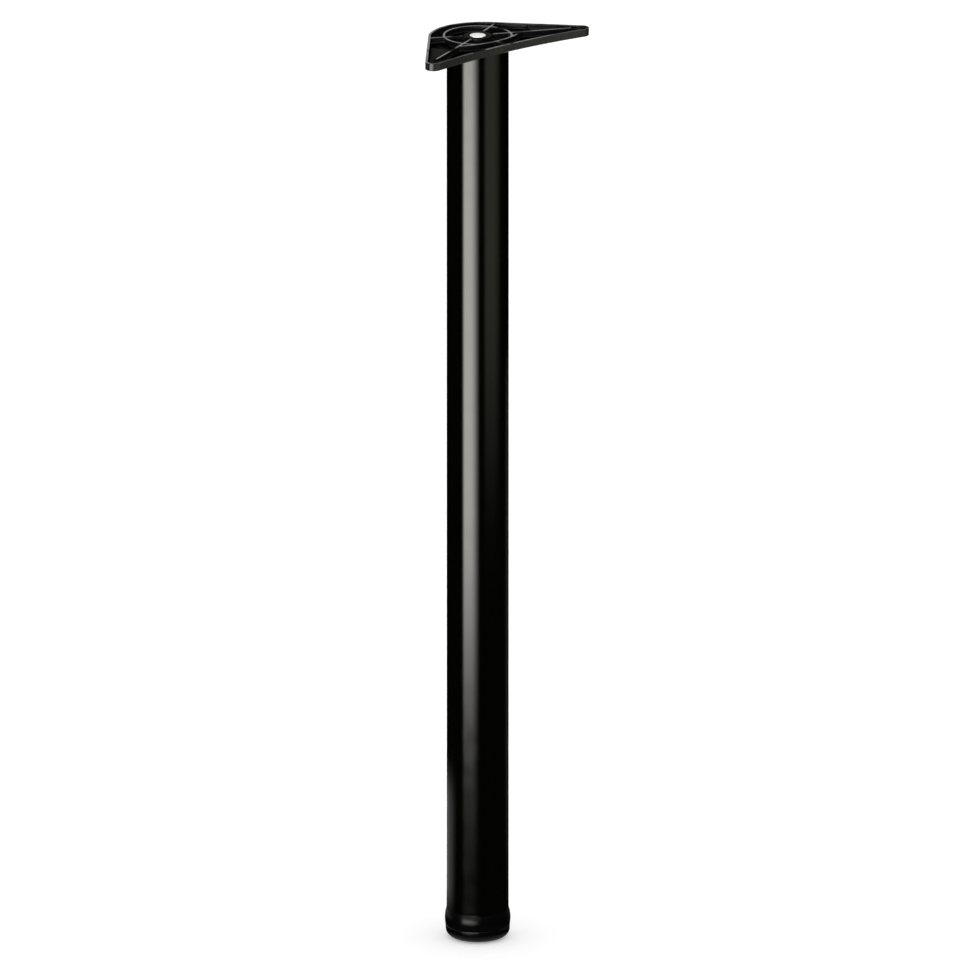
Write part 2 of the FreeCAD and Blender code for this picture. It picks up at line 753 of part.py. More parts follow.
os.makedirs("parts", exist_ok=True)
for piece in PIECES:
    piece.Shape.exportStep("parts/%s.step" % piece.Label)
    box = piece.Shape.BoundBox
    print("%s: %.1f x %.1f x %.1f mm, from %.1f to %.1f high, %.1f cm3" % (
        piece.Label, box.XLength, box.YLength, box.ZLength, box.ZMin, box.ZMax,
        piece.Shape.Volume / 1000))
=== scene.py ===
# %% [markdown]
# Height adjustable table leg.
# A gloss black steel tube carries a black die-cast plate, which is screwed under the table top,
# and a black moulded foot, which screws in and out of the tube's lower end. The pieces come from
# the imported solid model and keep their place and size. This script gives each piece its finish,
# cuts the real screw thread on the foot, and builds the light and the camera round them.

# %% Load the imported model
import math

import bmesh
import bpy
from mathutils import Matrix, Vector


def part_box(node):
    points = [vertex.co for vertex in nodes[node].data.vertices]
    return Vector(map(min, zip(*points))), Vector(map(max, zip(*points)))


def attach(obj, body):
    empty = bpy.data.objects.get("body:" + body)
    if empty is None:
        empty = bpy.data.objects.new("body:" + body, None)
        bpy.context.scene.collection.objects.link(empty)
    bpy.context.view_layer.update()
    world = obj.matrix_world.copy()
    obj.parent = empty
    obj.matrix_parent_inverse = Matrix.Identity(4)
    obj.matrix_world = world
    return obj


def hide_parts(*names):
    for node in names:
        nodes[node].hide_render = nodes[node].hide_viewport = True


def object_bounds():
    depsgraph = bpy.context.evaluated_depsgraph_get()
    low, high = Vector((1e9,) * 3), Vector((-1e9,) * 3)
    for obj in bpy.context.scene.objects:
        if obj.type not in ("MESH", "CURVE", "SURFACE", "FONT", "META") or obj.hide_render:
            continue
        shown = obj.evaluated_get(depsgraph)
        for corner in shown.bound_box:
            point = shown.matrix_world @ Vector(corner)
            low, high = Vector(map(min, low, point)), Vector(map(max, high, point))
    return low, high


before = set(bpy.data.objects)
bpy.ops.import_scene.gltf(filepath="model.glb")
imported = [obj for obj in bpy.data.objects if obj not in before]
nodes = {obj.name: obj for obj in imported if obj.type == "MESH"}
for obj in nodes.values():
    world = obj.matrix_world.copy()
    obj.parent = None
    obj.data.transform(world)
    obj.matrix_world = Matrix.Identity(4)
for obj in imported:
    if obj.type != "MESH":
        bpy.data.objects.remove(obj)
cad_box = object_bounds()
bpy.context.scene.view_settings.view_transform = "Standard"
MM = 0.001


def sides_in_mm(box):
    """The three sides of a box."""
    return [round(side / MM, 1) for side in box[1] - box[0]]


print("The solid model is", sides_in_mm(cad_box), "mm")

# %% [markdown]
# The camera comes first, because every later choice is judged through it. A product picture like
# this one is taken from far away with a long lens, so that the tube's two edges stay parallel. An
# orthographic camera would do that too, but a long lens is what a photographer has, and it keeps
# the little perspective that is left. The lens and the sensor are in millimetres, as Blender has
# them, and all other lengths are in metres.

# %% The camera
VIEW_AZIMUTH = math.radians(-40.28)
VIEW_ELEVATION = math.radians(16.53)
LENS = 1600
SENSOR = 36
SIGHT_LIMIT = 300
VIEW_WIDTH = 919.65 * MM
AIM_RIGHT = 2.15 * MM
AIM_UP = 6.47 * MM


def towards(azimuth, elevation=0.0):
    """The direction from the leg to a place at that azimuth. Azimuth 0 is in front, at -Y."""
    flat = math.cos(elevation)
    return Vector((math.sin(azimuth) * flat, -math.cos(azimuth) * flat, math.sin(elevation)))


lens = bpy.data.cameras.new("camera")
lens.lens = LENS
lens.sensor_width = SENSOR
lens.clip_end = SIGHT_LIMIT
camera = bpy.data.objects.new("camera", lens)
bpy.context.scene.collection.objects.link(camera)
bpy.context.scene.camera = camera
back = towards(VIEW_AZIMUTH, VIEW_ELEVATION)
turn = (-back).to_track_quat("-Z", "Y")
aim = Vector((0, 0, cad_box[1].z / 2))
aim += turn @ Vector((AIM_RIGHT, AIM_UP, 0))
camera.rotation_mode = "QUATERNION"
camera.rotation_quaternion = turn
camera.location = aim + back * (VIEW_WIDTH * LENS / SENSOR)
print("The camera stands", round((camera.location - aim).length, 2), "m away")

# %% [markdown]
# Each finish starts from one Principled shader. Numbers that are the same all over a surface are
# set on the shader itself. A finish is kept under the name of the material slot that it is for, as
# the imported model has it.

# %% Start and keep a finish
FINISHES = {}


def new_finish(name, colour, roughness, metallic=0.0):
    """A Principled material of one colour, ready for a pattern."""
    material = bpy.data.materials.new(name)
    material.use_nodes = True
    shader = material.node_tree.nodes["Principled BSDF"]
    shader.inputs["Base Color"].default_value = (*colour, 1)
    shader.inputs["Roughness"].default_value = roughness
    shader.inputs["Metallic"].default_value = metallic
    return material, material.node_tree, shader


def keep(slot, material):
    """Remembers the finish of a material slot."""
    FINISHES[slot] = material
    print(slot, "is", material.name, "with", len(material.node_tree.nodes), "nodes")


# %% [markdown]
# A real surface is never even, so a noise varies it a little. The noise reads Object coordinates,
# which are the leg's own metres, so a grain of 0.4 mm is 0.4 mm on every piece. It stays mostly
# between 0.3 and 0.7, and those two values are spread over the range that a finish needs.

# %% Helpers for patterns
NOISE_LOW = 0.3
NOISE_HIGH = 0.7


def own_place(tree):
    """The place of a point on the leg itself."""
    return tree.nodes.new("ShaderNodeTexCoord").outputs["Object"]


def grain(tree, size, detail=2.0):
    """Noise whose lumps are about that many metres across."""
    noise = tree.nodes.new("ShaderNodeTexNoise")
    noise.inputs["Scale"].default_value = 1 / size
    noise.inputs["Detail"].default_value = detail
    tree.links.new(own_place(tree), noise.inputs["Vector"])
    return noise.outputs["Fac"]


def between(tree, value, low, high, start=NOISE_LOW, end=NOISE_HIGH):
    """Turns start to end of a pattern into low to high, and goes no further."""
    spread = tree.nodes.new("ShaderNodeMapRange")
    spread.inputs["From Min"].default_value = start
    spread.inputs["From Max"].default_value = end
    spread.inputs["To Min"].default_value = low
    spread.inputs["To Max"].default_value = high
    tree.links.new(value, spread.inputs["Value"])
    return spread.outputs["Result"]


def relief(tree, shader, height, depth):
    """Lets a pattern tilt the surface as if it were that many metres deep."""
    bump = tree.nodes.new("ShaderNodeBump")
    bump.inputs["Distance"].default_value = depth
    tree.links.new(height, bump.inputs["Height"])
    tree.links.new(bump.outputs["Normal"], shader.inputs["Normal"])
    return bump


# %% [markdown]
# The tube is steel with a gloss black powder coat. Powder melts into a smooth skin with a faint
# orange peel, a millimetre or two across and only microns deep, so the reflection of a lamp has
# clean but slightly living edges.

# %% The tube's paint
TUBE_BLACK = (0.0012, 0.0012, 0.0010)
PEEL_SIZE = 1.6 * MM
PEEL_DEPTH = 1.2e-6
GLOSS_PATCH = 14 * MM
TUBE_ROUGHNESS = 0.11
GLOSS_RANGE = (0.095, 0.125)


def tube_paint():
    material, tree, shader = new_finish("gloss_black_coat", TUBE_BLACK, TUBE_ROUGHNESS)
    relief(tree, shader, grain(tree, PEEL_SIZE), PEEL_DEPTH)
    gloss = between(tree, grain(tree, GLOSS_PATCH), *GLOSS_RANGE)
    tree.links.new(gloss, shader.inputs["Roughness"])
    return material


keep("tube_paint", tube_paint())

# %% [markdown]
# The plate's coat changes from place to place, and a mask says where: a value of 0 or 1 at each
# point, with a soft step between. A few small helpers take a vector apart, measure it, and put two
# masks together. The larger of two masks is the one or the other, and their product is both.

# %% Helpers for masks
def parts_of(tree, vector):
    """The three parts of a vector."""
    split = tree.nodes.new("ShaderNodeSeparateXYZ")
    tree.links.new(vector, split.inputs["Vector"])
    return split.outputs["X"], split.outputs["Y"], split.outputs["Z"]


def length_of(tree, vector):
    """The length of a vector."""
    length = tree.nodes.new("ShaderNodeVectorMath")
    length.operation = "LENGTH"
    tree.links.new(vector, length.inputs[0])
    return length.outputs["Value"]


def combined(tree, operation, one, other):
    """Two values through one Math node."""
    step = tree.nodes.new("ShaderNodeMath")
    step.operation = operation
    tree.links.new(one, step.inputs[0])
    tree.links.new(other, step.inputs[1])
    return step.outputs["Value"]


def larger(tree, one, other):
    """The larger of two values."""
    return combined(tree, "MAXIMUM", one, other)


def product(tree, values):
    """All the values times each other."""
    total = values[0]
    for value in values[1:]:
        total = combined(tree, "MULTIPLY", total, value)
    return total


# %% [markdown]
# The plate is a zinc casting with a thin black coat, and it doesn't look the same all over. Its
# upright walls are satin. The floors of its hollows are matt, and their colour is darkened to
# nearly black as painted shade, the more so the less of the sky they see. The tops of its ribs are
# rubbed bright in patches, where plates have lain on each other, but the hub and the front rim
# stayed dull. Painting that by hand would need a picture laid on the plate. Masks that come from
# the plate's own shape need none: they ask how high a point lies, how upright its face is, how
# much of the sky it sees, and how far it is from the middle.

# %% Masks for the plate
RIB_TOP_HEIGHTS = (899.4 * MM, 899.7 * MM)
WALL_TILTS = (0.3, 0.6)
SKY_REACH = 20 * MM
SKY_RAYS = 8
OPEN_SKY = (0.90, 0.99)
BOSS_EDGE = (15 * MM, 16.3 * MM)
FRONT_EDGE = (-46 * MM, -43 * MM)
FRONT_SHINE = 0.05
RUBBED_PATCH = 19 * MM
RUBBED_EDGE = (0.42, 0.58)


def upright_faces(tree):
    """1 on faces that stand upright or look down, 0 on those that look up."""
    surface = tree.nodes.new("ShaderNodeNewGeometry")
    upwards = parts_of(tree, surface.outputs["True Normal"])[2]
    return between(tree, upwards, 1, 0, *WALL_TILTS)


# This sky mask also darkens the plate's colour in the hollows, as painted shade.
def open_to_the_sky(tree):
    """1 where nothing stands round a point, 0 deep in a hollow."""
    sky = tree.nodes.new("ShaderNodeAmbientOcclusion")
    sky.samples = SKY_RAYS
    sky.only_local = True
    sky.inputs["Distance"].default_value = SKY_REACH
    return between(tree, sky.outputs["AO"], 0, 1, *OPEN_SKY)


def off_the_boss(tree, place):
    """0 on the hub's flat top, 1 outside it."""
    level = tree.nodes.new("ShaderNodeMapping")
    level.inputs["Scale"].default_value = (1, 1, 0)
    tree.links.new(place, level.inputs["Vector"])
    return between(tree, length_of(tree, level.outputs["Vector"]), 0, 1, *BOSS_EDGE)


def rubbed_tops(tree, place, rib_tops):
    """1 where the rib tops are rubbed bright."""
    along = parts_of(tree, place)[1]
    off_front = between(tree, along, FRONT_SHINE, 1, *FRONT_EDGE)
    patches = between(tree, grain(tree, RUBBED_PATCH), 0, 1, *RUBBED_EDGE)
    return product(tree, [rib_tops, patches, off_the_boss(tree, place), off_front])


print("The rib tops start", round(RIB_TOP_HEIGHTS[0] / MM, 1), "mm above the floor")

# %% [markdown]
# With the masks, one material makes the whole coat. They choose its colour, its roughness and how
# strongly it mirrors; the near-black colour in the hollows is painted shade. A fine noise is the
# casting's grain, which shows most in the hollows, and a coarser one with four octaves makes the
# coat cloudy.

# %% The plate's coat
PLATE_BLACK = (0.02, 0.02, 0.018)
# Painted shade: the near-black colour given to the floors of the hollows.
HOLLOW_PAINTED_SHADE = (0.001, 0.001, 0.001)
CLOUD_DARK = (0.013, 0.013, 0.0115)
CLOUD_LIGHT = (0.027, 0.027, 0.024)
CLOUD_SIZE = 2.5 * MM
CLOUD_OCTAVES = 4
PLATE_ROUGHNESS = 0.2
POLISH = (0.16, 0.24)
HOLLOW_ROUGHNESS = 0.30
FULL_SHINE = 0.5
CAST_SIZE = 0.6 * MM
CAST_OCTAVES = 3
CAST_DEPTH = 60e-6
HOLLOW_RELIEF = 1.0
OPEN_RELIEF = 0.3


def shades(tree, value, dark, light):
    """Turns a pattern into a colour between two."""
    ramp = tree.nodes.new("ShaderNodeValToRGB")
    first, last = ramp.color_ramp.elements
    first.position = NOISE_LOW
    first.color = (*dark, 1)
    last.position = NOISE_HIGH
    last.color = (*light, 1)
    tree.links.new(value, ramp.inputs["Fac"])
    return ramp.outputs["Color"]


def cast_coat():
    material, tree, shader = new_finish("satin_black_casting", PLATE_BLACK, PLATE_ROUGHNESS)
    place = own_place(tree)
    rib_tops = between(tree, parts_of(tree, place)[2], 0, 1, *RIB_TOP_HEIGHTS)
    open_faces = larger(tree, open_to_the_sky(tree), rib_tops)

    cloud = grain(tree, CLOUD_SIZE, CLOUD_OCTAVES)
    # Painted shade: the coat's colour goes to near black where the sky mask finds a point deep in a
    # hollow.
    coat = tree.nodes.new("ShaderNodeMix")
    coat.data_type = "RGBA"
    coat.inputs["A"].default_value = (*HOLLOW_PAINTED_SHADE, 1)
    tree.links.new(shades(tree, cloud, CLOUD_DARK, CLOUD_LIGHT), coat.inputs["B"])
    tree.links.new(open_faces, coat.inputs["Factor"])
    tree.links.new(coat.outputs["Result"], shader.inputs["Base Color"])

    mirrors = larger(tree, rubbed_tops(tree, place, rib_tops), upright_faces(tree))
    tree.links.new(between(tree, mirrors, 0, FULL_SHINE, 0, 1),
                   shader.inputs["Specular IOR Level"])

    polish = between(tree, cloud, *POLISH)
    dull = between(tree, open_faces, HOLLOW_ROUGHNESS, 0, 0, 1)
    tree.links.new(larger(tree, polish, dull), shader.inputs["Roughness"])

    bump = relief(tree, shader, grain(tree, CAST_SIZE, CAST_OCTAVES), CAST_DEPTH)
    tree.links.new(between(tree, open_faces, HOLLOW_RELIEF, OPEN_RELIEF, 0, 1),
                   bump.inputs["Strength"])
    return material


keep("cast_plate", cast_coat())

# %% [markdown]
# The stud and the nut are steel with bright zinc plating. The stud's head is turned, so fine
# rings run round its middle. A Wave texture in rings about Z draws them.

# %% The plated steel
ZINC = (0.74, 0.73, 0.69)
RING_SCALE = 900
RING_WOBBLE = 1.5
RING_DEPTH = 0.4e-6
PLATING_SIZE = 1.5 * MM
PLATING_OCTAVES = 3
ZINC_ROUGHNESS = 0.08
PLATING_RANGE = (0.06, 0.10)


def bright_zinc():
    material, tree, shader = new_finish("bright_zinc", ZINC, ZINC_ROUGHNESS, metallic=1.0)
    rings = tree.nodes.new("ShaderNodeTexWave")
    rings.wave_type = "RINGS"
    rings.rings_direction = "Z"
    rings.inputs["Scale"].default_value = RING_SCALE
    rings.inputs["Distortion"].default_value = RING_WOBBLE
    tree.links.new(own_place(tree), rings.inputs["Vector"])
    relief(tree, shader, rings.outputs["Fac"], RING_DEPTH)
    plating = between(tree, grain(tree, PLATING_SIZE, PLATING_OCTAVES), *PLATING_RANGE)
    tree.links.new(plating, shader.inputs["Roughness"])
    return material


keep("plated_steel", bright_zinc())

# %% [markdown]
# The ferrule, the foot and the plug are moulded in black nylon, and the glide in acetal. The mould
# is spark eroded, which leaves a fine even texture. The foot's nylon is nearly as black as the
# paint and mirrors little. The plug and the glide, which hardly show, are a plain dark grey.

# %% The moulded plastics
SPARK_SIZE = 0.3 * MM
SPARK_OCTAVES = 3
FLOW_SIZE = 6 * MM
FLOW_RANGE = 0.03


def moulded_plastic(name, colour, roughness, depth, shine=0.5):
    """A moulded plastic whose texture is that many metres deep."""
    material, tree, shader = new_finish(name, colour, roughness)
    shader.inputs["Specular IOR Level"].default_value = shine
    relief(tree, shader, grain(tree, SPARK_SIZE, SPARK_OCTAVES), depth)
    flow = between(tree, grain(tree, FLOW_SIZE), roughness - FLOW_RANGE, roughness + FLOW_RANGE)
    tree.links.new(flow, shader.inputs["Roughness"])
    return material


keep("plug_plastic", moulded_plastic("plug_nylon", colour=(0.010, 0.010, 0.010),
                                     roughness=0.45, depth=8e-6))
keep("foot_plastic", moulded_plastic("foot_nylon", colour=(0.0015, 0.0015, 0.0015),
                                     roughness=0.20, depth=2e-6, shine=0.15))
keep("glide_plastic", moulded_plastic("glide_acetal", colour=(0.035, 0.035, 0.036),
                                      roughness=0.42, depth=6e-6))

# %% [markdown]
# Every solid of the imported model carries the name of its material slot, so one loop dresses them
# all.

# %% Dress the solids
for name, node in nodes.items():
    slot_name = node.data.materials[0].name
    node.material_slots[0].material = FINISHES[slot_name]
    print(name, "is finished in", node.material_slots[0].material.name)

# %% [markdown]
# No casting has knife edges, and a coat of paint rounds them further. The solid model leaves the
# ribs sharp, and a sharp edge never catches a light. A Bevel modifier rounds every edge that turns
# by more than 60 degrees. It is a modifier and not a bmesh bevel, because it leaves the solid's own
# mesh as it came.

# %% Round the plate's edges
EDGE_WIDTH = 0.5 * MM
EDGE_STEPS = 3
EDGE_ANGLE = math.radians(60)

rounds = nodes["mounting_plate"].modifiers.new("rib_edges", "BEVEL")
rounds.width = EDGE_WIDTH
rounds.segments = EDGE_STEPS
rounds.limit_method = "ANGLE"
rounds.angle_limit = EDGE_ANGLE
rounds.use_clamp_overlap = True
print("The plate's edges are rounded by", EDGE_WIDTH / MM, "mm")

# %% [markdown]
# The foot is one moulding: a round grip below and a hollow stem with a coarse thread above. The
# solid model draws the stem as a plain cylinder at the thread's full width. Here the same piece is
# modelled with its thread. Its outer sizes come from the solid that it stands for.

# %% Sizes of the foot, in metres
FOOT_LOW, FOOT_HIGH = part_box("foot_body")
SEGMENTS = 96
PITCH = 5 * MM
GRIP_RADIUS = FOOT_HIGH.x
GRIP_TOP = 12.8 * MM
GRIP_ROUND = 9 * MM
GRIP_STEPS = 16
SHOULDER = 0.9 * MM
SHOULDER_STEPS = 6
CREST_RADIUS = 19.7 * MM
ROOT_RADIUS = 18.2 * MM
CREST_FLAT = 1.1 * MM
FLANK = 1.0 * MM
NECK = 1.6 * MM
LEAD_IN = 1.2 * MM
BORE_RADIUS = 16.3 * MM
BORE_FLOOR = 8 * MM
RECESS_RADIUS = 21 * MM
RECESS_TOP = 3 * MM
PIN_HOLE_RADIUS = 4.3 * MM
print("The foot is", sides_in_mm((FOOT_LOW, FOOT_HIGH)), "mm")

# %% [markdown]
# Turned shapes grow from a ring of edges. Each extrusion carries the ring to the next radius and
# height of the section, as a lathe hand would read it off a drawing. Spinning the whole section
# about Z would do as well, but a ring can also be joined to the thread's cut end.

# %% Helpers for turned shapes
def edges_among(verts):
    """The edges that join some of these vertices to each other, in the same order each run."""
    chosen = set(verts)
    touching = dict.fromkeys(edge for vert in verts for edge in vert.link_edges)
    return [edge for edge in touching if edge.verts[0] in chosen and edge.verts[1] in chosen]


def first_ring(mesh, radius, height):
    """A circle of edges about Z."""
    verts = bmesh.ops.create_circle(mesh, segments=SEGMENTS, radius=radius)["verts"]
    bmesh.ops.translate(mesh, verts=verts, vec=(0, 0, height))
    return edges_among(verts)


def carried(mesh, edges, radius, height):
    """Extrudes a ring of edges and puts the new ring at that radius and height."""
    made = bmesh.ops.extrude_edge_only(mesh, edges=edges)["geom"]
    verts = [item for item in made if isinstance(item, bmesh.types.BMVert)]
    for vert in verts:
        rim = vert.co.xy.normalized() * radius
        vert.co = (rim.x, rim.y, height)
    return edges_among(verts)


def arc(middle_radius, middle_height, bend, start, end, steps):
    """Points of an arc in the section, from one angle in degrees to another."""
    angles = [math.radians(start + (end - start) * i / steps) for i in range(steps + 1)]
    return [(middle_radius + bend * math.cos(a), middle_height + bend * math.sin(a))
            for a in angles]


# %% [markdown]
# Every mesh of this script is closed off in the same way. Points that lie on each other are merged,
# the faces are turned outwards, and all is shaded smooth but for the real corners. The count of
# open edges tells at once whether a solid piece has a hole. A floor or a card has open edges.

# %% Close a mesh off
SAME_POINT = 1e-7
CORNER = math.radians(35)


def finished(mesh, name, material):
    """Closes a mesh off: merged, facing outwards, smooth but for its corners."""
    bmesh.ops.remove_doubles(mesh, verts=mesh.verts, dist=SAME_POINT)
    bmesh.ops.recalc_face_normals(mesh, faces=mesh.faces)
    for face in mesh.faces:
        face.smooth = True
    for edge in mesh.edges:
        edge.smooth = edge.calc_face_angle(0) < CORNER
    data = bpy.data.meshes.new(name)
    mesh.to_mesh(data)
    open_edges = sum(edge.is_boundary for edge in mesh.edges)
    mesh.free()
    data.materials.append(material)
    piece = bpy.data.objects.new(name, data)
    bpy.context.scene.collection.objects.link(piece)
    print(name, "has", len(data.polygons), "faces and", open_edges, "open edges")
    return piece


# %% [markdown]
# The thread is right-handed: it climbs as it turns against the clock, seen from above. The outline
# of one pitch is spun about Z while it climbs, which makes the whole helix in one operator. A helix
# has no flat ends, so it starts too low and ends too high, and two flat cuts trim it.

# %% The thread
SPARE_TURNS_BELOW = 2
SPARE_TURNS = 3
SEAM_GAP = 1e-6


def thread(mesh, low, high):
    """A helical skin from low to high. Returns its lower and its upper ring of edges."""
    outline = [(CREST_RADIUS, 0),
               (CREST_RADIUS, CREST_FLAT),
               (ROOT_RADIUS, CREST_FLAT + FLANK),
               (ROOT_RADIUS, PITCH - FLANK),
               (CREST_RADIUS, PITCH)]
    base = low - SPARE_TURNS_BELOW * PITCH
    verts = [mesh.verts.new((radius, 0, base + rise)) for radius, rise in outline]
    edges = [mesh.edges.new(pair) for pair in zip(verts, verts[1:])]
    turns = math.ceil((high - low) / PITCH) + SPARE_TURNS
    bmesh.ops.spin(mesh, geom=verts + edges, cent=(0, 0, 0), axis=(0, 0, 1),
                   angle=turns * 2 * math.pi, dvec=(0, 0, PITCH / SEGMENTS),
                   steps=turns * SEGMENTS, use_merge=False)
    bmesh.ops.remove_doubles(mesh, verts=mesh.verts, dist=SEAM_GAP)
    for height, outwards in ((high, 1), (low, -1)):
        bmesh.ops.bisect_plane(mesh, geom=mesh.verts[:] + mesh.edges[:] + mesh.faces[:],
                               dist=SAME_POINT, plane_co=(0, 0, height),
                               plane_no=(0, 0, outwards), clear_outer=True)
    rims = [edge for edge in mesh.edges if edge.is_boundary]
    middle = (low + high) / 2
    return ([edge for edge in rims if edge.verts[0].co.z < middle],
            [edge for edge in rims if edge.verts[0].co.z > middle])


# %% [markdown]
# The rest of the foot is turned. Its section runs from the neck under the thread over the grip's
# shoulder and round its lower edge, into the recess for the glide, through the hole for the glide's
# pin, and up the bore to the thread's top. Two bridges join it to the thread's cut ends, so that
# the piece is one closed skin. It takes the place of the plain solid and turns with the foot.

# %% The foot
def threaded_foot():
    mesh = bmesh.new()
    thread_low = GRIP_TOP + NECK
    thread_high = FOOT_HIGH.z - LEAD_IN
    lower_rim, upper_rim = thread(mesh, thread_low, thread_high)
    neck = first_ring(mesh, ROOT_RADIUS, thread_low)
    section = [(ROOT_RADIUS, GRIP_TOP)]
    section += arc(GRIP_RADIUS - SHOULDER, GRIP_TOP - SHOULDER, SHOULDER,
                   start=90, end=0, steps=SHOULDER_STEPS)
    section += arc(GRIP_RADIUS - GRIP_ROUND, FOOT_LOW.z + GRIP_ROUND, GRIP_ROUND,
                   start=0, end=-90, steps=GRIP_STEPS)
    section += [(RECESS_RADIUS, FOOT_LOW.z),
                (RECESS_RADIUS, RECESS_TOP),
                (PIN_HOLE_RADIUS, RECESS_TOP),
                (PIN_HOLE_RADIUS, BORE_FLOOR),
                (BORE_RADIUS, BORE_FLOOR),
                (BORE_RADIUS, FOOT_HIGH.z),
                (ROOT_RADIUS - FLANK / 2, FOOT_HIGH.z)]
    ring = neck
    for radius, height in section:
        ring = carried(mesh, ring, radius, height)
    bmesh.ops.bridge_loops(mesh, edges=lower_rim + neck)
    bmesh.ops.bridge_loops(mesh, edges=upper_rim + ring)
    return finished(mesh, "threaded_foot", FINISHES["foot_plastic"])


foot = threaded_foot()
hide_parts("foot_body")
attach(foot, "foot")

# %% [markdown]
# The floor is plain white, and the picture's white background is the same floor running on. A
# little glow that only the camera sees lifts the floor to full white, so that just the soft
# shadow at the foot is left. The floor rides on the glide, so that the leg still stands on it when
# the foot is screwed out. Gloss doesn't see the floor, because a black tube on an endless white
# floor would look grey.

# %% The floor
FLOOR_RADIUS = 60.0
FLOOR_SIDES = 64
FLOOR_COLOUR = 0.86
FLOOR_ROUGHNESS = 0.9
FLOOR_GLOW = 0.31


def white_floor():
    mesh = bmesh.new()
    bmesh.ops.create_circle(mesh, segments=FLOOR_SIDES, radius=FLOOR_RADIUS, cap_ends=True)
    material, tree, shader = new_finish("white_floor", (FLOOR_COLOUR,) * 3, FLOOR_ROUGHNESS)
    shader.inputs["Specular IOR Level"].default_value = 0
    shader.inputs["Emission Color"].default_value = (1, 1, 1, 1)
    camera_ray = tree.nodes.new("ShaderNodeLightPath").outputs["Is Camera Ray"]
    tree.links.new(between(tree, camera_ray, 0, FLOOR_GLOW, 0, 1),
                   shader.inputs["Emission Strength"])
    floor = finished(mesh, "floor", material)
    floor.visible_glossy = False
    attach(floor, "glide")


white_floor()

# %% [markdown]
# The dome of the world is the soft light that fills the shadows. The camera sees it plain white.
# Gloss and glass see it white from a little above the horizon, black at and below the horizon,
# and grey again steeply down, where a real floor near the leg would be. Without that last part
# the leg would look dead from above. The limits are the height of a direction one metre long.

# %% The dome
DOME_LIGHT = 0.9
GLOSS_HORIZON = (0.08, 0.16)
GLOSS_FLOOR = 0.6
STEEP_DOWN = (-0.9, -0.4)


def dome():
    world = bpy.data.worlds.new("dome")
    bpy.context.scene.world = world
    world.use_nodes = True
    tree = world.node_tree
    soft = tree.nodes["Background"]
    soft.inputs["Color"].default_value = (1, 1, 1, 1)
    soft.inputs["Strength"].default_value = DOME_LIGHT
    direction = tree.nodes.new("ShaderNodeTexCoord").outputs["Generated"]
    upwards = parts_of(tree, direction)[2]
    above = between(tree, upwards, 0, 1, *GLOSS_HORIZON)
    below = between(tree, upwards, GLOSS_FLOOR, 0, *STEEP_DOWN)
    rays = tree.nodes.new("ShaderNodeLightPath").outputs
    sight = larger(tree, larger(tree, rays["Is Camera Ray"], rays["Is Glossy Ray"]),
                   rays["Is Transmission Ray"])
    seen = tree.nodes.new("ShaderNodeBackground")
    tree.links.new(larger(tree, larger(tree, above, below), rays["Is Camera Ray"]),
                   seen.inputs["Color"])
    choice = tree.nodes.new("ShaderNodeMixShader")
    tree.links.new(sight, choice.inputs["Fac"])
    tree.links.new(soft.outputs["Background"], choice.inputs[1])
    tree.links.new(seen.outputs["Background"], choice.inputs[2])
    tree.links.new(choice.outputs["Shader"], tree.nodes["World Output"].inputs["Surface"])
    print("The dome lights the leg with a strength of", DOME_LIGHT)


dome()

# %% [markdown]
# Gloss black has no colour of its own to show: what makes it look like paint is what it reflects.
# A photographer hangs tall white cards round it and leaves the rest of the studio black. Here each
# card is a curved strip round the leg that only gloss can see. Its light fades out at its edges,
# because a hard edge in a reflection looks like a sticker.

# %% The glow of a card
def fade(tree, value, dark, bright):
    """A soft step: 0 at dark, 1 at bright."""
    step = tree.nodes.new("ShaderNodeMapRange")
    step.interpolation_type = "SMOOTHSTEP"
    step.inputs["From Min"].default_value = min(dark, bright)
    step.inputs["From Max"].default_value = max(dark, bright)
    step.inputs["To Min"].default_value = 0 if dark < bright else 1
    step.inputs["To Max"].default_value = 1 if dark < bright else 0
    tree.links.new(value, step.inputs["Value"])
    return step.outputs["Result"]


def angle_from(tree, azimuth):
    """The angle of a point about Z from that azimuth, and the point's height."""
    facing = tree.nodes.new("ShaderNodeMapping")
    facing.inputs["Rotation"].default_value = (0, 0, -azimuth)
    tree.links.new(own_place(tree), facing.inputs["Vector"])
    across, away, height = parts_of(tree, facing.outputs["Vector"])
    nearer = tree.nodes.new("ShaderNodeMath")
    nearer.operation = "MULTIPLY"
    nearer.inputs[1].default_value = -1
    tree.links.new(away, nearer.inputs[0])
    return combined(tree, "ARCTAN2", across, nearer.outputs["Value"]), height


def card_light(name, azimuth, strength, colour, left, right, start_fade, end_fade, along):
    """A glow that fades by the angle from the card's middle, and by height or by distance."""
    material = bpy.data.materials.new(name)
    material.use_nodes = True
    tree = material.node_tree
    tree.nodes.remove(tree.nodes["Principled BSDF"])
    angle, height = angle_from(tree, azimuth)
    position = height if along == "height" else length_of(tree, own_place(tree))
    steps = [fade(tree, angle, *[math.radians(a) for a in left]),
             fade(tree, angle, *[math.radians(a) for a in right]),
             fade(tree, position, *start_fade),
             fade(tree, position, *end_fade)]
    power = tree.nodes.new("ShaderNodeMath")
    power.operation = "MULTIPLY"
    power.inputs[1].default_value = strength
    tree.links.new(product(tree, steps), power.inputs[0])
    glow = tree.nodes.new("ShaderNodeEmission")
    glow.inputs["Color"].default_value = (*colour, 1)
    tree.links.new(power.outputs["Value"], glow.inputs["Strength"])
    tree.links.new(glow.outputs["Emission"], tree.nodes["Material Output"].inputs["Surface"])
    return material


# %% [markdown]
# A card's section runs from a start to an end, each a distance from the leg and a height, and is
# spun through the card's width. Azimuths are in degrees from the camera, to its right. Each fade is
# where the card is dark and where it is bright: left and right by the angle from its middle, start
# and end by height, or by distance for a card that lies flat.

# %% Hang a card
FACET_DEGREES = 4
FEWEST_FACETS = 8
WHITE = (1, 1, 1)
WARM_WHITE = (1, 0.99, 0.95)
YELLOW_WHITE = (1, 1, 0.85)


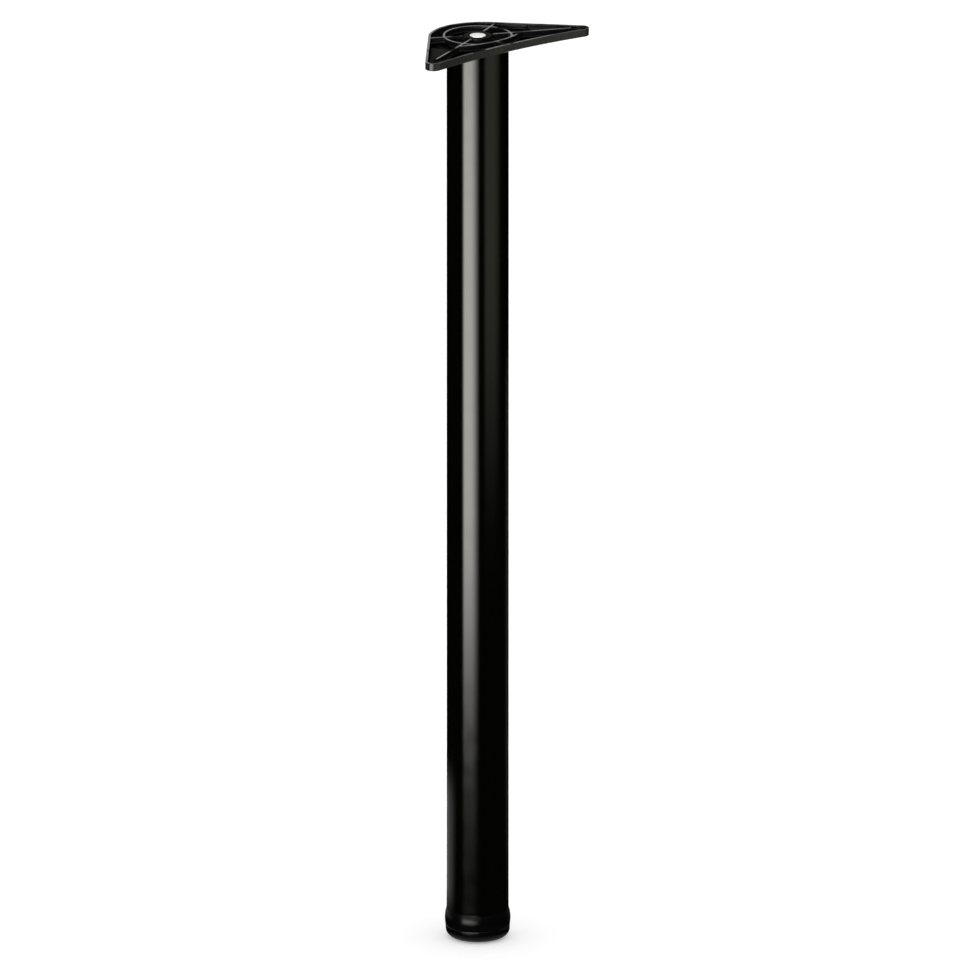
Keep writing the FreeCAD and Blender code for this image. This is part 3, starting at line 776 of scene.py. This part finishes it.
def card(name, middle, half_width, start, end, strength, left, right, start_fade, end_fade,
         colour=WHITE, along="height"):
    """A strip about Z that only gloss sees."""
    mesh = bmesh.new()
    edge_azimuth = VIEW_AZIMUTH + math.radians(middle - half_width)
    ends = [towards(edge_azimuth) * distance + Vector((0, 0, height))
            for distance, height in (start, end)]
    verts = [mesh.verts.new(point) for point in ends]
    edge = mesh.edges.new(verts)
    facets = max(FEWEST_FACETS, round(2 * half_width / FACET_DEGREES))
    bmesh.ops.spin(mesh, geom=verts + [edge], cent=(0, 0, 0), axis=(0, 0, 1),
                   angle=math.radians(2 * half_width), steps=facets, use_merge=False)
    light = card_light(name, VIEW_AZIMUTH + math.radians(middle), strength, colour,
                       left, right, start_fade, end_fade, along)
    piece = finished(mesh, name, light)
    for ray in ("camera", "diffuse", "transmission", "volume_scatter", "shadow"):
        setattr(piece, "visible_" + ray, False)


# %% [markdown]
# The tube is seen from above, so it mirrors what lies below eye level, and some cards reach below
# the floor, which gloss doesn't see. The key card makes the broad bright band on the tube's left,
# and its lower fade lets the band die away towards the foot. The front card hangs higher and lights
# the walls of the plate's hollows. The side card is the faint band right of the middle, and the
# edge card a thin line at the right. The floor card lies flat at the left, like a pale floor, and
# lifts the tube's left edge low down.

# %% The cards in front and at the sides
card("key_card", middle=-27, half_width=36, start=(3.0, -0.95), end=(3.0, 0.22), strength=9.0,
     left=(-34, -19), right=(35, -1), start_fade=(-0.74, -0.44), end_fade=(0.20, 0.06),
     colour=WARM_WHITE)
card("front_card", middle=-14, half_width=20, start=(3.0, 0.98), end=(3.0, 1.6), strength=40,
     left=(-20, -10), right=(20, 8), start_fade=(0.99, 1.05), end_fade=(1.6, 1.45))
card("side_card", middle=53, half_width=46, start=(1.0, 0.0), end=(1.0, 1.15), strength=0.5,
     left=(-35, -18), right=(45, 0), start_fade=(0.08, 0.42), end_fade=(1.15, 1.05),
     colour=YELLOW_WHITE)
card("edge_card", middle=135, half_width=16, start=(1.0, -0.30), end=(1.0, 0.32), strength=0.07,
     left=(-16, -8), right=(16, 8), start_fade=(-0.30, -0.10), end_fade=(0.32, 0.24))
card("floor_card", middle=-122, half_width=44, start=(0.05, 0.0), end=(0.62, 0.0), strength=0.35,
     left=(-44, -28), right=(44, 8), start_fade=(0.08, 0.20), end_fade=(0.62, 0.45),
     along="distance")

# %% [markdown]
# The last two cards are for the other sides. One stands behind the leg, so that the tube has a
# bright band from there too. The other is a ring over the plate, which the rib tops mirror in views
# from steeply above. It is bright all round, so its left and right fades take no room.

# %% The cards behind and above
card("behind_card", middle=180, half_width=18, start=(2.0, -1.1), end=(2.0, 0.60), strength=3.5,
     left=(-18, -9), right=(18, 4), start_fade=(-0.95, -0.45), end_fade=(0.58, 0.35),
     colour=WARM_WHITE)
card("top_card", middle=0, half_width=180, start=(0.02, 2.3), end=(1.2, 2.3), strength=7,
     left=(-180, -179.9), right=(180, 179.9), start_fade=(2.28, 2.29), end_fade=(2.32, 2.31))
